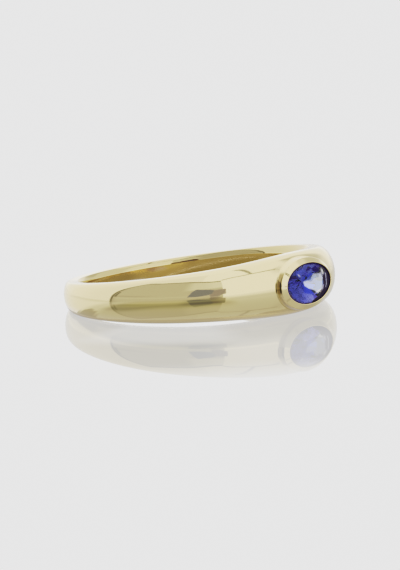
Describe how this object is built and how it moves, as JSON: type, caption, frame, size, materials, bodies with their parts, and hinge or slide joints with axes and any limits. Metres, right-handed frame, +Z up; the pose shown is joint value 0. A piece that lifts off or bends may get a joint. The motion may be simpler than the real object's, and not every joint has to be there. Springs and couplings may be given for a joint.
{
  "type": "gemstone ring",
  "caption": "Tapered domed gold ring that holds a faceted oval violet-blue stone in a plain raised collar, lying on its side.",
  "frame": {"origin": "on the floor, under the middle of the ring's box as it lies on its side", "axes": "+Z up from the floor, the stone faces -Y and slightly up, +X to the right as seen from the stone's side"},
  "size_m": [0.0198, 0.0202, 0.0043],
  "materials": {
    "gold": "polished",
    "stone": "polished, faceted"
  },
  "bodies": {
    "root": {"band_and_collar": "gold", "stone": "stone"}
  },
  "joints": []
}
